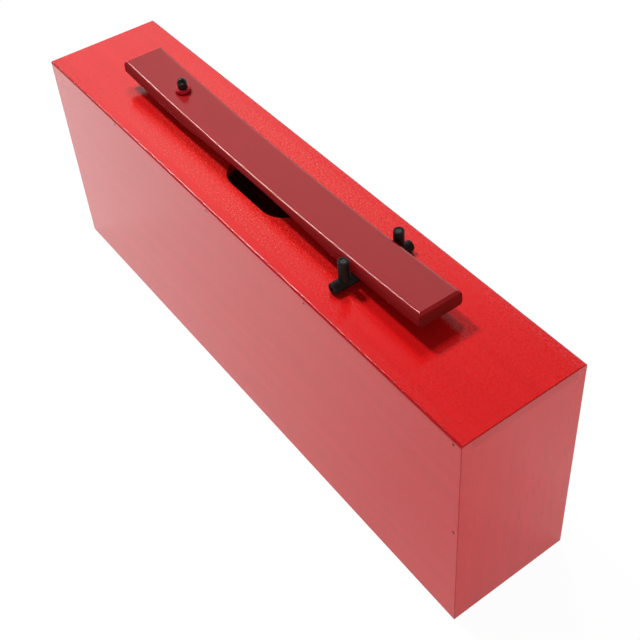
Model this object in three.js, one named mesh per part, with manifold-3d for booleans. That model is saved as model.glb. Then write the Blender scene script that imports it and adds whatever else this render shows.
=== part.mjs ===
// A bass chime bar: one tuned metal bar over a tall wooden resonator box.
// Millimetres, +Z up. X runs along the bar, Y across it, and the origin is the middle of the box's
// underside, on the surface that the box stands on.
import * as THREE from 'three';
import { RoundedBoxGeometry } from 'three/addons/geometries/RoundedBoxGeometry.js';
import { mergeVertices } from 'three/addons/utils/BufferGeometryUtils.js';
import Module from 'manifold-3d';

// The resonator box
const box_length = 520;
const box_width = 100;
const box_height = 188;
const side_thickness = 8;
const end_thickness = 8;
const top_thickness = 8;
const bottom_thickness = 8;
const long_arris_radius = 2;
const broken_edge_radius = 0.7;

// The sound hole in the top, under the middle of the bar
const hole_length = 83;
const hole_width = 43;
const hole_offset = -3;

// The brads that hold the long sides to the top and to one end
const brad_diameter = 1.2;
const brad_length = 18;
const brad_sink = 0.5;
const brad_room = 0.15;
const top_brad_distances = [409, 273, 153, 7];
const end_brad_height = 99.5;

// The bar: bent hollow along its top, with rounded sides and a tuning arch cut out of its underside
const bar_length = 366;
const bar_width = 35;
const bar_thickness = 11.4;
const bar_shoulder = 3.5;
const bar_lower_corner = 3.2;
const bar_end_chamfer = 1.8;
const bar_hollow = 5.9;
const arch_length = 206;
const arch_waist = 4;
const bar_hole_diameter = 8.4;

// The pin, grommet, cushion and cap that hold the bar at its far end
const pin_place = -120.5;
const pin_diameter = 4;
const pin_end_cover = 0.5;
const flange_diameter = 12.8;
const flange_thickness = 2.6;
const flange_edge = 0.6;
const cushion_diameter = 14;
const cap_diameter = 7.8;
const cap_height = 7.8;
const cap_bore_depth = 4.5;
const cap_end_room = 0.5;

// The cross tube and the two sleeved posts that carry and guide the near end
const post_place = 115;
const post_room = 1.5;
const post_height = 23.3;
const post_pin_recess = 0.3;
const sleeve_diameter = 7.6;
const sleeve_edge = 0.5;
const cross_tube_diameter = 8.2;
const cross_tube_bore = 3.2;
const cross_tube_length = 66.5;
const cross_tube_edge = 1.2;

// Clearances between pieces
const seat_gap = 0.2;
const pin_gap = 0.3;
const cut_margin = 5;

// Fineness of the round shapes
const round_sides = 32;
const brad_sides = 12;
const bar_steps = 48;
const arch_steps = 40;
const shoulder_steps = 6;
const dome_steps = 8;
const edge_steps = 3;

// Finishes
const lacquer_red = { color: 0xc8201f, roughness: 0.28, metalness: 0 };
const bar_red = { color: 0x8e1d22, roughness: 0.3, metalness: 0.35 };
const collar_red = { color: 0x9c1420, roughness: 0.4, metalness: 0 };
const rubber_black = { color: 0x1b1a1a, roughness: 0.7, metalness: 0 };
const cap_black = { color: 0x0c0d0c, roughness: 0.15, metalness: 0 };
const steel_grey = { color: 0x8c9198, roughness: 0.35, metalness: 1 };
const brad_dark = { color: 0x2a2322, roughness: 0.6, metalness: 0.6 };

const wasm = await Module();
wasm.setup();

// What stands on the box is built in groups whose own zero height is the box's top.
const model = new THREE.Group();
const on_top = new THREE.Group();
const far_fixing = new THREE.Group();
const near_support = new THREE.Group();
on_top.position.z = box_height;
far_fixing.position.x = pin_place;
near_support.position.x = post_place;
on_top.add(far_fixing, near_support);
model.add(on_top);

// Turns a closed geometry into a solid that can be joined and cut.
function solid(geometry) {
  const bare = geometry.clone();
  bare.deleteAttribute('normal');
  bare.deleteAttribute('uv');
  const merged = mergeVertices(bare, 1e-4);
  return new wasm.Manifold(new wasm.Mesh({
    numProp: 3,
    vertProperties: new Float32Array(merged.attributes.position.array),
    triVerts: new Uint32Array(merged.index.array),
  }));
}

// Turns a solid back into a geometry.
function geometry_of(body) {
  const mesh = body.getMesh();
  const geometry = new THREE.BufferGeometry();
  geometry.setAttribute('position', new THREE.BufferAttribute(new Float32Array(mesh.vertProperties), 3));
  geometry.setIndex(new THREE.BufferAttribute(new Uint32Array(mesh.triVerts), 1));
  geometry.computeVertexNormals();
  return geometry;
}

// Adds one named piece, with a finish of its own, at a place in a group.
function add_piece(group, name, geometry, finish, place = [0, 0, 0]) {
  const mesh = new THREE.Mesh(geometry, new THREE.MeshStandardMaterial(finish));
  mesh.name = name;
  mesh.position.set(...place);
  group.add(mesh);
}

// A plain block between two opposite corners, which may come in either order.
function block(corner, other) {
  const size = corner.map((value, axis) => Math.abs(other[axis] - value));
  const middle = corner.map((value, axis) => (value + other[axis]) / 2);
  return new THREE.BoxGeometry(...size).translate(...middle);
}

// A rod along Z that stands on zero height.
function upright_rod(diameter, height) {
  return new THREE.CylinderGeometry(diameter / 2, diameter / 2, height, round_sides)
    .rotateX(Math.PI / 2)
    .translate(0, 0, height / 2);
}

// A rod along Y whose middle is at zero.
function cross_rod(diameter, length, sides) {
  return new THREE.CylinderGeometry(diameter / 2, diameter / 2, length, sides);
}

// A ring or cap turned about Z from points given as radius and height.
function turned(points) {
  const profile = points.map(([radius, height]) => new THREE.Vector2(radius, height));
  return new THREE.LatheGeometry(profile, round_sides).rotateX(Math.PI / 2);
}

// A tube along Z whose outer edges are rounded.
function tube(diameter, bore_diameter, foot, head, edge) {
  const core = diameter / 2 - edge;
  const bore = bore_diameter / 2;
  const points = [[bore, foot]];
  for (let step = 0; step <= edge_steps; step += 1) {
    const angle = step / edge_steps * Math.PI / 2;
    points.push([core + edge * Math.sin(angle), foot + edge * (1 - Math.cos(angle))]);
  }
  for (let step = 0; step <= edge_steps; step += 1) {
    const angle = step / edge_steps * Math.PI / 2;
    points.push([core + edge * Math.cos(angle), head - edge * (1 - Math.sin(angle))]);
  }
  points.push([bore, head], [bore, foot]);
  return turned(points);
}

// Places that several pieces share
const half_length = box_length / 2;
const half_width = box_width / 2;
const inner_half_length = half_length - end_thickness;
const inner_half_width = half_width - side_thickness;
const top_underside = box_height - top_thickness;
const post_offset = bar_width / 2 + post_room + sleeve_diameter / 2;
const pin_foot = pin_end_cover - top_thickness;
const pin_hole_diameter = pin_diameter + 2 * pin_gap;
const pin_places = [[pin_place, 0], [post_place, -post_offset], [post_place, post_offset]];

// The bar lies on the cross tube's far shoulder, and that sets the height of the whole bar.
const cross_tube_axis = seat_gap + cross_tube_diameter / 2;
const bar_seat = cross_tube_axis + cross_tube_diameter / 2 + seat_gap;
const bar_seat_share = (post_place - cross_tube_diameter / 2) / (bar_length / 2);
const bar_end_height = bar_seat + bar_thickness + bar_hollow * (1 - bar_seat_share ** 2);

// Height of the bar's top at a distance along it, on the parabola of its hollow.
function bar_top(x) {
  const share = x / (bar_length / 2);
  return bar_end_height - bar_hollow * (1 - share ** 2);
}

function bar_underside(x) {
  return bar_top(x) - bar_thickness;
}

// The brads of one long side: four along the top edge, each at its distance from the right end, and one
// at half height into that end.
const brad_places = top_brad_distances.map((distance, index) => (
  { name: `top_brad_${index + 1}`, x: half_length - distance, z: box_height - top_thickness / 2 }
));
brad_places.push({ name: 'end_brad', x: half_length - end_thickness / 2, z: end_brad_height });

function without_brad_holes(body) {
  const depth = brad_sink + brad_length + brad_room + cut_margin;
  const middle = half_width + cut_margin - depth / 2;
  const hole = cross_rod(brad_diameter + 2 * brad_room, depth, brad_sides);
  for (const { x, z } of brad_places) {
    for (const side of [-1, 1]) {
      body = body.subtract(solid(hole.clone().translate(x, side * middle, z)));
    }
  }
  return body;
}

// The box's section across its length, with the two upper corners rounded.
function box_section() {
  const round = long_arris_radius;
  const outline = new THREE.Shape();
  outline.moveTo(-half_width, 0);
  outline.lineTo(half_width, 0);
  outline.absarc(half_width - round, box_height - round, round, 0, Math.PI / 2, false);
  outline.absarc(-half_width + round, box_height - round, round, Math.PI / 2, Math.PI, false);
  return new THREE.ExtrudeGeometry(outline, { depth: box_length, bevelEnabled: false, curveSegments: 4 })
    .rotateX(Math.PI / 2)
    .rotateZ(Math.PI / 2)
    .translate(-half_length, 0, 0);
}

// Every panel is cut from one block, so that the outsides run on into each other. The block's long upper
// arrises are well rounded, and its other edges are only broken.
const rounded_block = solid(
  new RoundedBoxGeometry(box_length, box_width, box_height, 2, broken_edge_radius)
    .translate(0, 0, box_height / 2),
).intersect(solid(box_section()));

function add_panel(name, corner, other, cut = (body) => body) {
  const body = without_brad_holes(rounded_block.intersect(solid(block(corner, other))));
  add_piece(model, name, geometry_of(cut(body)), lacquer_red);
}

// The sound hole is long with round ends.
function sound_hole() {
  const radius = hole_width / 2;
  const reach = hole_length / 2 - radius;
  const outline = new THREE.Shape();
  outline.absarc(reach, 0, radius, -Math.PI / 2, Math.PI / 2, false);
  outline.absarc(-reach, 0, radius, Math.PI / 2, 3 * Math.PI / 2, false);
  const depth = top_thickness + 2 * cut_margin;
  return new THREE.ExtrudeGeometry(outline, { depth, bevelEnabled: false, curveSegments: 24 })
    .translate(hole_offset, 0, top_underside - cut_margin);
}

function without_top_holes(body) {
  const pin_hole = upright_rod(pin_hole_diameter, top_thickness + 2 * cut_margin);
  for (const [x, y] of pin_places) {
    body = body.subtract(solid(pin_hole.clone().translate(x, y, top_underside - cut_margin)));
  }
  return body.subtract(solid(sound_hole()));
}

// The top lies over the ends, the bottom lies between them, and the long sides cover all their edges.
function add_box() {
  add_panel(
    'top_panel',
    [-half_length, -inner_half_width, top_underside],
    [half_length, inner_half_width, box_height],
    without_top_holes,
  );
  add_panel(
    'bottom_panel',
    [-inner_half_length, -inner_half_width, 0],
    [inner_half_length, inner_half_width, bottom_thickness],
  );
  for (const [name, side] of [['front_side_panel', -1], ['back_side_panel', 1]]) {
    add_panel(name, [-half_length, side * inner_half_width, 0], [half_length, side * half_width, box_height]);
  }
  for (const [name, end] of [['left_end_panel', -1], ['right_end_panel', 1]]) {
    add_panel(
      name,
      [end * inner_half_length, -inner_half_width, 0],
      [end * half_length, inner_half_width, top_underside],
    );
  }
}

function add_brads() {
  const middle = half_width - brad_sink - brad_length / 2;
  for (const [side_name, side] of [['front', -1], ['back', 1]]) {
    for (const { name, x, z } of brad_places) {
      const brad = cross_rod(brad_diameter, brad_length, brad_sides);
      add_piece(model, `${side_name}_${name}`, brad, brad_dark, [x, side * middle, z]);
    }
  }
}

// The bar's section, whose second coordinate is the depth below the top: a flat top, shoulders that
// reach the full width at half the depth, and smaller rounded corners below.
function bar_section() {
  const wide = bar_width / 2;
  const top_flat = wide - bar_shoulder;
  const lower_flat = wide - bar_lower_corner;
  const shoulder_end = bar_thickness / 2;
  const corner_start = bar_thickness - bar_lower_corner;
  const outline = new THREE.Shape();
  outline.moveTo(-top_flat, 0);
  outline.lineTo(top_flat, 0);
  outline.quadraticCurveTo(wide, 0, wide, shoulder_end);
  outline.lineTo(wide, corner_start);
  outline.quadraticCurveTo(wide, bar_thickness, lower_flat, bar_thickness);
  outline.lineTo(-lower_flat, bar_thickness);
  outline.quadraticCurveTo(-wide, bar_thickness, -wide, corner_start);
  outline.lineTo(-wide, shoulder_end);
  outline.quadraticCurveTo(-wide, 0, -top_flat, 0);
  return outline;
}

// The arch cut across the underside is half an ellipse, which leaves the waist in the middle of the bar.
function tuning_arch() {
  const outline = new THREE.Shape();
  outline.moveTo(arch_length / 2, -cut_margin);
  outline.absellipse(0, 0, arch_length / 2, bar_thickness - arch_waist, 0, Math.PI, false, 0);
  outline.lineTo(-arch_length / 2, -cut_margin);
  const depth = bar_width + 2 * cut_margin;
  return new THREE.ExtrudeGeometry(outline, { depth, bevelEnabled: false, curveSegments: arch_steps })
    .rotateX(Math.PI / 2)
    .translate(0, depth / 2, bar_underside(0));
}

// The wedge that takes the sharp edge off the top of one end of the bar.
function end_chamfer(end) {
  const reach = bar_end_chamfer + cut_margin;
  return new THREE.BoxGeometry(2 * reach, bar_width + 2 * cut_margin, 2 * reach)
    .translate(0, 0, reach)
    .rotateY(end * Math.PI / 4)
    .translate(end * bar_length / 2, 0, bar_end_height - bar_end_chamfer);
}

// The bar is its section drawn along the parabola of its top, less the arch, the pin's hole and the
// chamfers of its ends.
function add_bar() {
  const half = bar_length / 2;
  const line = new THREE.QuadraticBezierCurve3(
    new THREE.Vector3(-half, 0, bar_end_height),
    new THREE.Vector3(0, 0, bar_end_height - 2 * bar_hollow),
    new THREE.Vector3(half, 0, bar_end_height),
  );
  const drawn = new THREE.ExtrudeGeometry(
    bar_section(),
    { extrudePath: line, steps: bar_steps, curveSegments: shoulder_steps },
  );
  const hole = upright_rod(bar_hole_diameter, bar_thickness + 2 * cut_margin)
    .translate(pin_place, 0, bar_underside(pin_place) - cut_margin);
  let body = solid(drawn);
  for (const cut of [tuning_arch(), hole, end_chamfer(-1), end_chamfer(1)]) {
    body = body.subtract(solid(cut));
  }
  add_piece(on_top, 'tone_bar', geometry_of(body), bar_red);
}

// The far fixing, from the panel upwards: cushion, bar, grommet and cap, all on one pin.
const flange_underside = bar_top(pin_place - flange_diameter / 2) + seat_gap;
const flange_top = flange_underside + flange_thickness;
const cap_foot = flange_top + seat_gap;

function add_cushion() {
  const radius = cushion_diameter / 2;
  const bore = pin_hole_diameter / 2;
  const head = bar_underside(pin_place + radius) - seat_gap;
  const ring = turned([[bore, seat_gap], [radius, seat_gap], [radius, head], [bore, head], [bore, seat_gap]]);
  add_piece(far_fixing, 'bar_cushion', ring, rubber_black);
}

// The grommet lines the bar's hole, and its flange is the collar on top of the bar.
function add_grommet() {
  const bore = pin_hole_diameter / 2;
  const sleeve = bar_hole_diameter / 2 - pin_gap;
  const flange = flange_diameter / 2;
  const sleeve_foot = bar_underside(pin_place) + seat_gap;
  const ring = turned([
    [bore, sleeve_foot],
    [sleeve, sleeve_foot],
    [sleeve, flange_underside],
    [flange, flange_underside],
    [flange, flange_top - flange_edge],
    [flange - flange_edge, flange_top],
    [bore, flange_top],
    [bore, sleeve_foot],
  ]);
  add_piece(far_fixing, 'bar_grommet', ring, collar_red);
}

// The cap is a short round wall under a half ball, with a blind bore for the pin.
function add_cap() {
  const radius = cap_diameter / 2;
  const bore = pin_hole_diameter / 2;
  const wall_top = cap_height - radius;
  const points = [[0, cap_bore_depth], [bore, cap_bore_depth], [bore, 0], [radius, 0]];
  for (let step = 0; step < dome_steps; step += 1) {
    const angle = step / dome_steps * Math.PI / 2;
    points.push([radius * Math.cos(angle), wall_top + radius * Math.sin(angle)]);
  }
  points.push([0, cap_height]);
  add_piece(far_fixing, 'pin_cap', turned(points), cap_black, [0, 0, cap_foot]);
}

function add_bar_pin() {
  const head = cap_foot + cap_bore_depth - cap_end_room;
  add_piece(far_fixing, 'bar_pin', upright_rod(pin_diameter, head - pin_foot), steel_grey, [0, 0, pin_foot]);
}

// The cross tube lies under the bar, and both post pins go down through it into the top panel.
function add_cross_tube() {
  const reach = cross_tube_length / 2;
  let body = solid(
    tube(cross_tube_diameter, cross_tube_bore, -reach, reach, cross_tube_edge).rotateX(Math.PI / 2),
  );
  const pin_hole = upright_rod(pin_hole_diameter, cross_tube_diameter + 2 * cut_margin);
  const hole_foot = -cross_tube_diameter / 2 - cut_margin;
  for (const side of [-1, 1]) {
    body = body.subtract(solid(pin_hole.clone().translate(0, side * post_offset, hole_foot)));
  }
  add_piece(near_support, 'cross_tube', geometry_of(body), rubber_black, [0, 0, cross_tube_axis]);
}

// Each post is a pin in a sleeve, whose foot is saddled over the cross tube.
function post_sleeve() {
  const height = post_height - cross_tube_axis;
  const whole = tube(sleeve_diameter, pin_hole_diameter, 0, height, sleeve_edge);
  const saddle = cross_rod(cross_tube_diameter + 2 * seat_gap, sleeve_diameter + 2 * cut_margin, round_sides);
  return geometry_of(solid(whole).subtract(solid(saddle)));
}

function add_posts() {
  const pin_length = post_height - post_pin_recess - pin_foot;
  for (const [name, side] of [['front', -1], ['back', 1]]) {
    const y = side * post_offset;
    const pin = upright_rod(pin_diameter, pin_length);
    add_piece(near_support, `${name}_post_sleeve`, post_sleeve(), rubber_black, [0, y, cross_tube_axis]);
    add_piece(near_support, `${name}_post_pin`, pin, steel_grey, [0, y, pin_foot]);
  }
}

add_box();
add_brads();
add_bar();
add_cushion();
add_grommet();
add_cap();
add_bar_pin();
add_cross_tube();
add_posts();

export default model;
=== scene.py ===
"""Finishes, light and camera for the bass chime bar. Metres, +Z up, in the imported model's frame."""
import math

import bpy
from mathutils import Matrix, Vector


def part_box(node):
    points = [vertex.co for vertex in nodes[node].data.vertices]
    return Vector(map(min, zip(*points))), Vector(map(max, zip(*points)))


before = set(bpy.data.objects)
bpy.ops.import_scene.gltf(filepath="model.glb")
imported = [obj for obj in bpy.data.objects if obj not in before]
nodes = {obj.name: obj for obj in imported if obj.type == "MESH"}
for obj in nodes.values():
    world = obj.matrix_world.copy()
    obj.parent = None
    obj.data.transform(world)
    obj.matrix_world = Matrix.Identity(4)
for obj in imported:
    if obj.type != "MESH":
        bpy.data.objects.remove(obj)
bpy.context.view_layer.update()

MM = 0.001

# The height of the box's top, which is that of its top panel's highest corner
box_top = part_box("top_panel")[1].z

# The photograph's camera: its place, the point of the box's top that its axis meets, and its roll
CAMERA_PLACE = Vector((0.5439, -0.3187, 0.6967))
CAMERA_AIM = Vector((0.0900, -0.0157, 0.188))
CAMERA_ROLL = math.radians(4.13)
CAMERA_NEAREST = 0.01
CAMERA_FARTHEST = 50
SENSOR_WIDTH = 36.0
FRAME_PIXELS = 640
FOCAL_PIXELS = 1121.8
AXIS_PIXEL = Vector((330.4, 261.9))

# The two lamps. Their directions come from the corners of the two shadows beyond the bar's end. They are
# not mirrored.
KEY_TOWARD = Vector((-0.63, -0.11, 1.0))
KEY_POWER = 0.70
SECOND_TOWARD = Vector((-0.37, 0.32, 1.0))
SECOND_POWER = 0.35
LAMP_DISTANCE = 2.2
LAMP_WIDTH = math.radians(9)
LAMP_SPREAD = math.radians(60)

# A narrow upright strip, which is mirrored as the fine line along the arrises and lights nothing else
STRIP_TOWARD = Vector((-0.66, -0.10, 0.75))
STRIP_WIDTH = math.radians(3)
STRIP_HEIGHT = math.radians(24)
STRIP_POWER = 0.42

# The pale wall beyond the far end: how bright it is mirrored below and above a band of heights, how far
# round it reaches, and the share of it that adds to the light
WALL_TOWARD = Vector((-0.83, 0.55, 0.0))
WALL_LOW_STRENGTH = 1.2
WALL_HIGH_STRENGTH = 0.26
WALL_BAND = (math.radians(40), math.radians(46))
WALL_EDGE = (0.15, 0.45)
WALL_LIGHT_SHARE = 0.3

# The soft panel low behind the camera, which lights the two upright sides: its strength, its outer and
# inner edge, and the sines of the heights between which it fades
FILL_TOWARD = Vector((0.82, -0.55, 0.10))
FILL_STRENGTH = 3.5
FILL_SPREAD = (math.radians(42), math.radians(28))
FILL_HEIGHT = (0.05, 0.45)

# The rest of the room, and the ceiling, which isn't mirrored, with the sines of the heights where it begins
# and is full
ROOM_STRENGTH = 0.12
CEILING_STRENGTH = 0.32
CEILING_HEIGHT = (0.5, 0.8)

# What the camera sees of the world's own pale grey behind the floor: strong enough for white
BACKDROP_STRENGTH = 1.3

# The floor: half its width, how far it lies under the box, and its tone
FLOOR_REACH = 6.0
FLOOR_DROP = 0.1 * MM
FLOOR_TONE = (0.9, 0.9, 0.9, 1)

# The floor's own glow, as the camera sees it and where it lights the sides
FLOOR_SEEN_STRENGTH = 1.03
FLOOR_LIGHT_STRENGTH = 1.2

# The floor's glow as it is mirrored, over three ranges: from the far end of the box to the near end, from
# its front side to its back side, and from near the box to far away
FLOOR_ALONG_RANGE = (-0.50, 0.15)
FLOOR_ALONG = (2.1, 0.75)
FLOOR_ACROSS_RANGE = (-0.05, 0.05)
FLOOR_ACROSS = (0.85, 1.05)
FLOOR_AROUND_RANGE = (0.65, 0.85)
FLOOR_AROUND = (1.0, 0.1)

# The share of the glow in the floor, where the rest is lit by the lamps and keeps the shadow
GLOW_SHARE_SEEN = 0.94
GLOW_SHARE_MIRRORED = 0.6
GLOW_SHARE_LIGHT = 0.42


class Shader:
    """A material's or world's node tree, with short calls for the nodes that the finishes share."""

    def __init__(self, owner):
        owner.use_nodes = True
        self.tree = owner.node_tree
        self.tree.nodes.clear()

    def node(self, kind, **settings):
        made = self.tree.nodes.new(kind)
        for name, value in settings.items():
            setattr(made, name, value)
        return made

    def feed(self, socket, value):
        """Links a socket's value in, or sets it where it is a plain one."""
        if isinstance(value, bpy.types.NodeSocket):
            self.tree.links.new(value, socket)
        else:
            socket.default_value = value

    def place(self, scale=(1, 1, 1)):
        """The piece's own place in metres, stretched for a pattern."""
        mapping = self.node("ShaderNodeMapping")
        self.feed(mapping.inputs["Vector"], self.node("ShaderNodeTexCoord").outputs["Object"])
        self.feed(mapping.inputs["Scale"], scale)
        return mapping.outputs["Vector"]

    def parts(self, vector):
        """The X, Y and Z of a vector, under those names."""
        made = self.node("ShaderNodeSeparateXYZ")
        self.feed(made.inputs["Vector"], vector)
        return made.outputs

    def noise(self, waves, detail, roughness=0.5):
        """A soft pattern with the given waves per metre along X, Y and Z."""
        made = self.node("ShaderNodeTexNoise")
        self.feed(made.inputs["Vector"], self.place(waves))
        self.feed(made.inputs["Scale"], 1.0)
        self.feed(made.inputs["Detail"], detail)
        self.feed(made.inputs["Roughness"], roughness)
        return made.outputs["Fac"]

    def spread(self, value, low, high, to_low=0.0, to_high=1.0):
        """Spreads the range from low to high over the new range, and holds it there."""
        made = self.node("ShaderNodeMapRange")
        self.feed(made.inputs["Value"], value)
        self.feed(made.inputs["From Min"], low)
        self.feed(made.inputs["From Max"], high)
        self.feed(made.inputs["To Min"], to_low)
        self.feed(made.inputs["To Max"], to_high)
        return made.outputs["Result"]

    def between(self, share, at_none, at_full):
        """From the first value, where the share is 0, to the second, where it is 1."""
        return self.spread(share, 0.0, 1.0, at_none, at_full)

    def math(self, operation, first, second=0.0):
        """What Blender's math node gives for one or two values."""
        made = self.node("ShaderNodeMath", operation=operation)
        self.feed(made.inputs[0], first)
        self.feed(made.inputs[1], second)
        return made.outputs[0]

    def times(self, first, second):
        return self.math("MULTIPLY", first, second)

    def mix(self, share, first, second):
        """Two colours in one, with the given share of the second."""
        made = self.node("ShaderNodeMix", data_type="RGBA")
        self.feed(made.inputs["Factor"], share)
        self.feed(made.inputs["A"], first)
        self.feed(made.inputs["B"], second)
        return made.outputs["Result"]

    def blend(self, share, first, second):
        """Two surfaces in one, with the given share of the second."""
        made = self.node("ShaderNodeMixShader")
        self.feed(made.inputs[0], share)
        self.feed(made.inputs[1], first)
        self.feed(made.inputs[2], second)
        return made.outputs[0]

    def facing(self, axis):
        """How squarely the surface faces along one of the piece's own axes, from 0 to 1."""
        normal = self.parts(self.node("ShaderNodeTexCoord").outputs["Normal"])
        return self.math("ABSOLUTE", normal[axis])

    def bump(self, height, depth, under=None):
        """The way the surface faces over a relief of the given depth, which may lie on another relief."""
        made = self.node("ShaderNodeBump")
        self.feed(made.inputs["Height"], height)
        self.feed(made.inputs["Distance"], depth)
        if under is not None:
            self.feed(made.inputs["Normal"], under)
        return made.outputs["Normal"]

    def show(self, surface):
        """Makes the given surface the one that the material shows."""
        output = self.node("ShaderNodeOutputMaterial")
        self.feed(output.inputs["Surface"], surface)

    def surface(self, colour, roughness, normal, **sockets):
        """Gives the material a surface with these properties. Other sockets go by name."""
        made = self.node("ShaderNodeBsdfPrincipled")
        self.feed(made.inputs["Base Color"], colour)
        self.feed(made.inputs["Roughness"], roughness)
        self.feed(made.inputs["Normal"], normal)
        for name, value in sockets.items():
            self.feed(made.inputs[name.replace("_", " ")], value)
        self.show(made.outputs["BSDF"])


def new_material(name):
    material = bpy.data.materials.new(name)
    return material, Shader(material)


# Finishes

# Colours are linear red, green, blue and alpha. Waves are per metre along X, Y and Z. A range is the two
# values of a pattern between which a finish changes.
LACQUER_IOR = 1.5
NARROW_RANGE = (0.35, 0.65)
WIDE_RANGE = (0.3, 0.7)

# The box's lacquer and the wood under it
LACQUER_DEEP = (0.73, 0.007, 0.009, 1)
LACQUER_BRIGHT = (0.79, 0.010, 0.012, 1)
LACQUER_ROUGHNESS = (0.08, 0.12)
LACQUER_GLOSS = (0.15, 1.0)
FIGURE_ALONG_WAVES = (7, 80, 80)
FIGURE_UPRIGHT_WAVES = (80, 80, 7)
FIGURE_RANGE = (0.35, 0.68)
CLOUD_WAVES = (9, 9, 9)

# The pores, which are open in patches
PORE_RED = (0.42, 0.004, 0.006, 1)
PORES_ALONG_WAVES = (260, 2200, 2200)
PORES_UPRIGHT_WAVES = (700, 700, 60)
PORE_RANGE = (0.58, 0.74)
PORE_DEPTH = 0.010 * MM
PATCH_RANGE = (0.4, 0.62)
PATCH_LEAST = 0.25

# The fine speckle of the lacquer's surface, and how faint it is at the ends of the top
SPECKLE_WAVES = (500, 1000, 1000)
SPECKLE_DEPTH = 0.17 * MM
SPECKLE_LEAST = 0.4

# The flecks of the top, the light ones painted glints and the dark ones darker specks: where along it their
# middle is, how far from there they are strong and have faded, and how strong they stay
PAINTED_GLINT_COLOUR = (0.94, 0.140, 0.080, 1)
FLECK_DARK = (0.50, 0.004, 0.006, 1)
FLECK_WAVES = (560, 1250, 1250)
PAINTED_GLINT_RANGE = (0.55, 0.67)
FLECK_DARK_RANGE = (0.45, 0.34)
FLECK_MIDDLE = -30 * MM
FLECK_REACH = (50 * MM, 190 * MM)
FLECK_LEAST = 0.1

# The end grain of the top, and how squarely it faces along the box
END_GRAIN_RED = (0.66, 0.006, 0.008, 1)
END_GRAIN_FACING = (0.7, 0.8)

# The dark stain around each brad of a long side: its full core and its edge. The search for the nearest
# brad begins with a distance that is farther than all of them.
STAIN_RED = (0.13, 0.005, 0.006, 1)
STAIN_REACH = (0.8 * MM, 1.4 * MM)
FAR_FROM_BRADS = 1.0

# The box's arrises: darker all round as painted shade, and rougher along the box by the given amount
ARRIS_PAINTED_SHADE = (0.50, 0.004, 0.006, 1)
ARRIS_RANGE = (0.05, 0.25)
ARRIS_ROUGHNESS = 0.08


def brad_stain(shader):
    """How much a place on a long side is stained by the nearest brad, from 0 to 1."""
    place = shader.place((1, 0, 1))
    nearest = FAR_FROM_BRADS
    for name in nodes:
        if name.startswith("front_") and "brad" in name:
            low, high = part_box(name)
            away = shader.node("ShaderNodeVectorMath", operation="DISTANCE")
            shader.feed(away.inputs[0], place)
            shader.feed(away.inputs[1], ((low.x + high.x) / 2, 0, (low.z + high.z) / 2))
            nearest = shader.math("MINIMUM", away.outputs["Value"], nearest)
    return shader.spread(nearest, *STAIN_REACH, 1.0, 0.0)


def fleck_share(shader):
    """How strong the flecks and their painted glints are along the top: full around their middle and faint
    toward the ends.
    """
    along = shader.parts(shader.place())["X"]
    away = shader.math("ABSOLUTE", shader.math("SUBTRACT", along, FLECK_MIDDLE))
    return shader.spread(away, *FLECK_REACH, 1.0, FLECK_LEAST)


def flecked(shader, colour, strong):
    """The colour with light flecks as painted glints and dark flecks as darker specks, of the given
    strength.
    """
    flecks = shader.noise(FLECK_WAVES, detail=2.0, roughness=0.7)
    # The light flecks are painted glints
    light = shader.times(shader.spread(flecks, *PAINTED_GLINT_RANGE), strong)
    dark = shader.times(shader.spread(flecks, *FLECK_DARK_RANGE), strong)
    return shader.mix(dark, shader.mix(light, colour, PAINTED_GLINT_COLOUR), FLECK_DARK)


def arris_share(shader, *facing_pairs):
    """Where the rounded arrises are between the faces along the given pairs of axes, from 0 to 1."""
    total = 0.0
    for first, second in facing_pairs:
        both = shader.times(shader.facing(first), shader.facing(second))
        total = shader.math("ADD", both, total)
    return shader.spread(total, *ARRIS_RANGE)


def lacquered_wood(name, figure_waves, pore_waves, top=False, long_side=False):
    """Glossy red lacquer over open-grained wood, with painted shade on its arrises. The top has painted
    glints among darker flecks and is darker on its end grain, and a long side is stained around its brads."""
    material, shader = new_material(name)
    figure = shader.noise(figure_waves, detail=4.0, roughness=0.6)
    pores = shader.noise(pore_waves, detail=2.0, roughness=0.65)
    speckle = shader.noise(SPECKLE_WAVES, detail=2.0, roughness=0.6)
    cloud = shader.noise(CLOUD_WAVES, detail=2.0)
    colour = shader.mix(shader.spread(figure, *FIGURE_RANGE), LACQUER_DEEP, LACQUER_BRIGHT)
    patches = shader.spread(cloud, *PATCH_RANGE, PATCH_LEAST, 1.0)
    open_pores = shader.times(shader.spread(pores, *PORE_RANGE), patches)
    colour = shader.mix(open_pores, colour, PORE_RED)
    relief = speckle
    if top:
        strong = fleck_share(shader)
        relief = shader.times(speckle, shader.between(strong, SPECKLE_LEAST, 1.0))
        # Painted glints and darker specks over the top
        colour = flecked(shader, colour, strong)
        end_grain = shader.spread(shader.facing("X"), *END_GRAIN_FACING)
        colour = shader.mix(end_grain, colour, END_GRAIN_RED)
    if long_side:
        colour = shader.mix(brad_stain(shader), colour, STAIN_RED)
    # Painted shade darkens every arris of the box
    colour = shader.mix(arris_share(shader, "YZ", "XZ", "XY"), colour, ARRIS_PAINTED_SHADE)
    worn = shader.times(arris_share(shader, "YZ"), ARRIS_ROUGHNESS)
    roughness = shader.spread(cloud, *WIDE_RANGE, *LACQUER_ROUGHNESS)
    roughness = shader.math("ADD", roughness, worn)
    gloss = shader.spread(speckle, *NARROW_RANGE, *LACQUER_GLOSS)
    normal = shader.bump(relief, SPECKLE_DEPTH, under=shader.bump(pores, PORE_DEPTH))
    shader.surface(colour, roughness, normal, IOR=LACQUER_IOR, Specular_IOR_Level=gloss)
    return material


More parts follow.
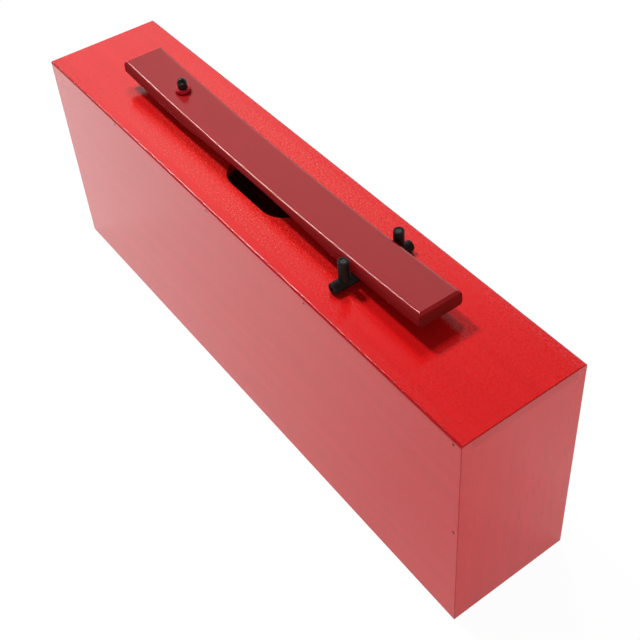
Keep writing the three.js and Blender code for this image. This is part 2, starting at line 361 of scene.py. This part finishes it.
lengthwise = lacquered_wood("lacquer_lengthwise", FIGURE_ALONG_WAVES, PORES_ALONG_WAVES)
top_finish = lacquered_wood("lacquer_top", FIGURE_ALONG_WAVES, PORES_ALONG_WAVES, top=True)
long_side = lacquered_wood("lacquer_long_side", FIGURE_ALONG_WAVES, PORES_ALONG_WAVES, long_side=True)
upright = lacquered_wood("lacquer_upright", FIGURE_UPRIGHT_WAVES, PORES_UPRIGHT_WAVES)

# The bar's lacquer: on its top, on its two cut ends and on its sides, where the ends and sides get painted
# shade, with how squarely these face
BAR_DEEP = (0.31, 0.008, 0.011, 1)
BAR_BRIGHT = (0.35, 0.011, 0.014, 1)
BAR_CLOUD_WAVES = (14, 30, 30)
BAR_FLECK_WAVES = (900, 900, 900)
BAR_FLECK_DEPTH = 0.002 * MM
BAR_ROUGHNESS = (0.18, 0.22)
BAR_END_PAINTED_SHADE = (0.14, 0.009, 0.009, 1)
BAR_END_FACING = (0.8, 0.95)
BAR_SIDE_PAINTED_SHADE = (0.24, 0.005, 0.008, 1)
BAR_SIDE_FACING = (0.45, 0.75)
BAR_SIDE_ROUGHNESS = 0.25
BAR_TOP_GLOSS = 0.5
BAR_SIDE_GLOSS = 0.12


def bar_lacquer():
    """Smooth dark red lacquer on the metal bar, duller on its sides, with painted shade on its sides and on
    its two cut ends.
    """
    material, shader = new_material("bar_lacquer")
    cloud = shader.noise(BAR_CLOUD_WAVES, detail=3.0)
    flecks = shader.noise(BAR_FLECK_WAVES, detail=1.0)
    end = shader.spread(shader.facing("X"), *BAR_END_FACING)
    side = shader.spread(shader.facing("Y"), *BAR_SIDE_FACING)
    colour = shader.mix(shader.spread(cloud, *WIDE_RANGE), BAR_DEEP, BAR_BRIGHT)
    # Painted shade darkens the two cut ends, and next the sides
    colour = shader.mix(end, colour, BAR_END_PAINTED_SHADE)
    colour = shader.mix(side, colour, BAR_SIDE_PAINTED_SHADE)
    roughness = shader.spread(cloud, *WIDE_RANGE, *BAR_ROUGHNESS)
    roughness = shader.math("ADD", roughness, shader.times(side, BAR_SIDE_ROUGHNESS))
    gloss = shader.between(side, BAR_TOP_GLOSS, BAR_SIDE_GLOSS)
    normal = shader.bump(flecks, BAR_FLECK_DEPTH)
    shader.surface(colour, roughness, normal, IOR=LACQUER_IOR, Specular_IOR_Level=gloss)
    return material


bar_finish = bar_lacquer()

# The black rubber: its grey bloom and its grit
RUBBER_DEEP = (0.005, 0.004, 0.004, 1)
RUBBER_BLOOM = (0.014, 0.013, 0.012, 1)
RUBBER_BLOOM_WAVES = (220, 220, 220)
RUBBER_BLOOM_RANGE = (0.4, 0.7)
RUBBER_GRIT_WAVES = (2500, 2500, 2500)
RUBBER_GRIT_DEPTH = 0.02 * MM
RUBBER_ROUGHNESS = (0.55, 0.7)
RUBBER_GLOSS = 0.3


def support_rubber():
    """Matt black rubber tubing with a faint grey bloom."""
    material, shader = new_material("support_rubber")
    bloom = shader.noise(RUBBER_BLOOM_WAVES, detail=4.0, roughness=0.6)
    grit = shader.noise(RUBBER_GRIT_WAVES, detail=2.0)
    colour = shader.mix(shader.spread(bloom, *RUBBER_BLOOM_RANGE), RUBBER_DEEP, RUBBER_BLOOM)
    roughness = shader.spread(bloom, *WIDE_RANGE, *RUBBER_ROUGHNESS)
    normal = shader.bump(grit, RUBBER_GRIT_DEPTH)
    shader.surface(colour, roughness, normal, Specular_IOR_Level=RUBBER_GLOSS)
    return material


rubber = support_rubber()


def plastic(name, tones, waves, depth, roughness, gloss):
    """Moulded plastic whose tone, surface and roughness are slightly uneven."""
    material, shader = new_material(name)
    cloud = shader.noise(waves, detail=3.0)
    colour = shader.mix(shader.spread(cloud, *NARROW_RANGE), *tones)
    uneven = shader.spread(cloud, *WIDE_RANGE, *roughness)
    shader.surface(colour, uneven, shader.bump(cloud, depth), Specular_IOR_Level=gloss)
    return material


# The cap's gloss black plastic
CAP_TONES = ((0.005, 0.006, 0.005, 1), (0.010, 0.013, 0.010, 1))
CAP_WAVES = (400, 400, 400)
CAP_DEPTH = 0.02 * MM
CAP_ROUGHNESS = (0.12, 0.22)
CAP_GLOSS = 0.35
cap_finish = plastic("cap_plastic", CAP_TONES, CAP_WAVES, CAP_DEPTH, CAP_ROUGHNESS, CAP_GLOSS)

# The satin red plastic of the bar's grommet, which shows as a collar
COLLAR_TONES = ((0.40, 0.004, 0.012, 1), (0.49, 0.006, 0.017, 1))
COLLAR_WAVES = (500, 500, 500)
COLLAR_DEPTH = 0.03 * MM
COLLAR_ROUGHNESS = (0.3, 0.42)
COLLAR_GLOSS = 0.4
collar_finish = plastic(
    "collar_plastic", COLLAR_TONES, COLLAR_WAVES, COLLAR_DEPTH, COLLAR_ROUGHNESS, COLLAR_GLOSS
)

# The tarnish of both steels
STEEL_WAVES = (700, 700, 700)
STEEL_DEPTH = 0.02 * MM


def steel(name, tones, roughness):
    """Plain drawn steel, dulled unevenly."""
    material, shader = new_material(name)
    tarnish = shader.noise(STEEL_WAVES, detail=4.0, roughness=0.6)
    colour = shader.mix(shader.spread(tarnish, *NARROW_RANGE), *tones)
    uneven = shader.spread(tarnish, *WIDE_RANGE, *roughness)
    shader.surface(colour, uneven, shader.bump(tarnish, STEEL_DEPTH), Metallic=1.0)
    return material


# The dull grey steel of the pins
PIN_TONES = ((0.05, 0.053, 0.053, 1), (0.14, 0.15, 0.15, 1))
PIN_ROUGHNESS = (0.4, 0.55)
pin_steel = steel("pin_steel", PIN_TONES, PIN_ROUGHNESS)

# The dark steel of the brads, reddened by the lacquer over them
BRAD_TONES = ((0.05, 0.008, 0.008, 1), (0.10, 0.020, 0.016, 1))
BRAD_ROUGHNESS = (0.6, 0.75)
brad_steel = steel("brad_steel", BRAD_TONES, BRAD_ROUGHNESS)

# The finish of each node. Every other node is a brad.
finish_of = {
    "top_panel": top_finish,
    "bottom_panel": lengthwise,
    "front_side_panel": long_side,
    "back_side_panel": long_side,
    "left_end_panel": upright,
    "right_end_panel": upright,
    "tone_bar": bar_finish,
    "bar_grommet": collar_finish,
    "pin_cap": cap_finish,
    "bar_cushion": rubber,
    "cross_tube": rubber,
    "front_post_sleeve": rubber,
    "back_post_sleeve": rubber,
    "bar_pin": pin_steel,
    "front_post_pin": pin_steel,
    "back_post_pin": pin_steel,
}

for name, piece in nodes.items():
    piece.data.materials.clear()
    piece.data.materials.append(finish_of.get(name, brad_steel))


# Edges and shading

# How near two points are joined, and the angle from which an edge is sharp
WELD_DISTANCE = 0.001 * MM
SHARP_ANGLE = math.radians(35)

# How far the large faces lead the small ones in the shading: fully, and as their areas alone say
FLAT_WEIGHT = 100
BAR_WEIGHT = 50


def smooth(piece, weight):
    """Joins the piece's faces and shades all but its sharp edges smooth, with flat faces flat."""
    for face in piece.data.polygons:
        face.use_smooth = True
    weld = piece.modifiers.new("weld", "WELD")
    weld.merge_threshold = WELD_DISTANCE
    split = piece.modifiers.new("sharp_edges", "EDGE_SPLIT")
    split.split_angle = SHARP_ANGLE
    normals = piece.modifiers.new("flat_faces_flat", "WEIGHTED_NORMAL")
    normals.mode = "FACE_AREA"
    normals.weight = weight


for name, piece in nodes.items():
    smooth(piece, BAR_WEIGHT if name == "tone_bar" else FLAT_WEIGHT)


# Floor, room, lamps and camera

def mirrored_glow(shader):
    """How brightly each place of the floor is mirrored."""
    place = shader.place()
    parts = shader.parts(place)
    away = shader.node("ShaderNodeVectorMath", operation="LENGTH")
    shader.feed(away.inputs[0], place)
    along = shader.spread(parts["X"], *FLOOR_ALONG_RANGE, *FLOOR_ALONG)
    across = shader.spread(parts["Y"], *FLOOR_ACROSS_RANGE, *FLOOR_ACROSS)
    around = shader.spread(away.outputs["Value"], *FLOOR_AROUND_RANGE, *FLOOR_AROUND)
    return shader.times(shader.times(along, across), around)


def white_floor():
    """A floor that the camera sees near white with a faint shadow, and that is clear from below."""
    material, shader = new_material("white_floor")
    rays = shader.node("ShaderNodeLightPath")
    seen = rays.outputs["Is Camera Ray"]
    mirrored = rays.outputs["Is Glossy Ray"]
    lit = shader.node("ShaderNodeBsdfDiffuse")
    shader.feed(lit.inputs["Color"], FLOOR_TONE)
    glow = shader.node("ShaderNodeEmission")
    strength = shader.between(mirrored, FLOOR_LIGHT_STRENGTH, mirrored_glow(shader))
    shader.feed(glow.inputs["Strength"], shader.between(seen, strength, FLOOR_SEEN_STRENGTH))
    share = shader.between(mirrored, GLOW_SHARE_LIGHT, GLOW_SHARE_MIRRORED)
    share = shader.between(seen, share, GLOW_SHARE_SEEN)
    above = shader.blend(share, lit.outputs[0], glow.outputs[0])
    from_below = shader.node("ShaderNodeNewGeometry").outputs["Backfacing"]
    clear = shader.node("ShaderNodeBsdfTransparent").outputs[0]
    shader.show(shader.blend(from_below, above, clear))
    return material


def add_floor():
    """The one-sided square of floor, which faces up."""
    signs = ((-1, -1), (1, -1), (1, 1), (-1, 1))
    corners = [(x * FLOOR_REACH, y * FLOOR_REACH, -FLOOR_DROP) for x, y in signs]
    mesh = bpy.data.meshes.new("floor")
    mesh.from_pydata(corners, [], [(0, 1, 2, 3)])
    mesh.materials.append(white_floor())
    floor = bpy.data.objects.new("floor", mesh)
    bpy.context.scene.collection.objects.link(floor)


def add_room():
    """The dim room with its pale wall, soft panel and ceiling. The camera sees white instead."""
    world = bpy.data.worlds.new("room")
    bpy.context.scene.world = world
    shader = Shader(world)
    looking = shader.node("ShaderNodeTexCoord").outputs["Generated"]
    rays = shader.node("ShaderNodeLightPath")
    seen = rays.outputs["Is Camera Ray"]
    mirrored = rays.outputs["Is Glossy Ray"]

    def along(direction):
        made = shader.node("ShaderNodeVectorMath", operation="DOT_PRODUCT")
        shader.feed(made.inputs[0], looking)
        shader.feed(made.inputs[1], direction.normalized())
        return made.outputs["Value"]

    height = along(Vector((0, 0, 1)))
    low, high = WALL_BAND
    wall = shader.spread(height, math.sin(low), math.sin(high), WALL_LOW_STRENGTH, WALL_HIGH_STRENGTH)
    wall = shader.times(wall, shader.spread(along(WALL_TOWARD), *WALL_EDGE))
    wall = shader.times(wall, shader.between(mirrored, WALL_LIGHT_SHARE, 1.0))
    edge, inside = FILL_SPREAD
    fill = shader.spread(along(FILL_TOWARD), math.cos(edge), math.cos(inside), 0.0, FILL_STRENGTH)
    fill = shader.times(fill, shader.spread(height, *FILL_HEIGHT, 1.0, 0.0))
    ceiling = shader.spread(height, *CEILING_HEIGHT, 0.0, CEILING_STRENGTH)
    ceiling = shader.times(ceiling, shader.between(mirrored, 1.0, 0.0))
    light = ROOM_STRENGTH
    for source in (wall, fill, ceiling):
        light = shader.math("MAXIMUM", source, light)
    background = shader.node("ShaderNodeBackground")
    shader.feed(background.inputs["Strength"], shader.between(seen, light, BACKDROP_STRENGTH))
    output = shader.node("ShaderNodeOutputWorld")
    shader.feed(output.inputs["Surface"], background.outputs[0])


def add_lamp(name, toward, power, width, height):
    """A soft lamp that points at the middle of the box's top. Its width and height are angles, as seen from
    there."""
    data = bpy.data.lights.new(name, "AREA")
    data.shape = "ELLIPSE"
    data.size = 2 * LAMP_DISTANCE * math.tan(width / 2)
    data.size_y = 2 * LAMP_DISTANCE * math.tan(height / 2)
    data.spread = LAMP_SPREAD
    data.energy = power * LAMP_DISTANCE ** 2
    lamp = bpy.data.objects.new(name, data)
    bpy.context.scene.collection.objects.link(lamp)
    lamp.location = Vector((0, 0, box_top)) + toward.normalized() * LAMP_DISTANCE
    lamp.rotation_euler = toward.to_track_quat("Z", "Y").to_euler()
    return lamp


def add_camera():
    """The photograph's camera, with its axis off the middle of the frame."""
    data = bpy.data.cameras.new("camera")
    data.sensor_width = SENSOR_WIDTH
    data.lens = SENSOR_WIDTH * FOCAL_PIXELS / FRAME_PIXELS
    data.shift_x = 0.5 - AXIS_PIXEL.x / FRAME_PIXELS
    data.shift_y = AXIS_PIXEL.y / FRAME_PIXELS - 0.5
    data.clip_start = CAMERA_NEAREST
    data.clip_end = CAMERA_FARTHEST
    camera = bpy.data.objects.new("camera", data)
    bpy.context.scene.collection.objects.link(camera)
    turn = (CAMERA_AIM - CAMERA_PLACE).to_track_quat("-Z", "Y").to_matrix().to_4x4()
    roll = Matrix.Rotation(-CAMERA_ROLL, 4, "Z")
    camera.matrix_world = Matrix.Translation(CAMERA_PLACE) @ turn @ roll
    bpy.context.scene.camera = camera


add_floor()
add_room()
key = add_lamp("key_lamp", KEY_TOWARD, KEY_POWER, LAMP_WIDTH, LAMP_WIDTH)
key.visible_glossy = False
second = add_lamp("second_lamp", SECOND_TOWARD, SECOND_POWER, LAMP_WIDTH, LAMP_WIDTH)
second.visible_glossy = False
strip = add_lamp("strip", STRIP_TOWARD, STRIP_POWER, STRIP_WIDTH, STRIP_HEIGHT)
strip.visible_diffuse = False
add_camera()

bpy.context.scene.view_settings.view_transform = "Standard"
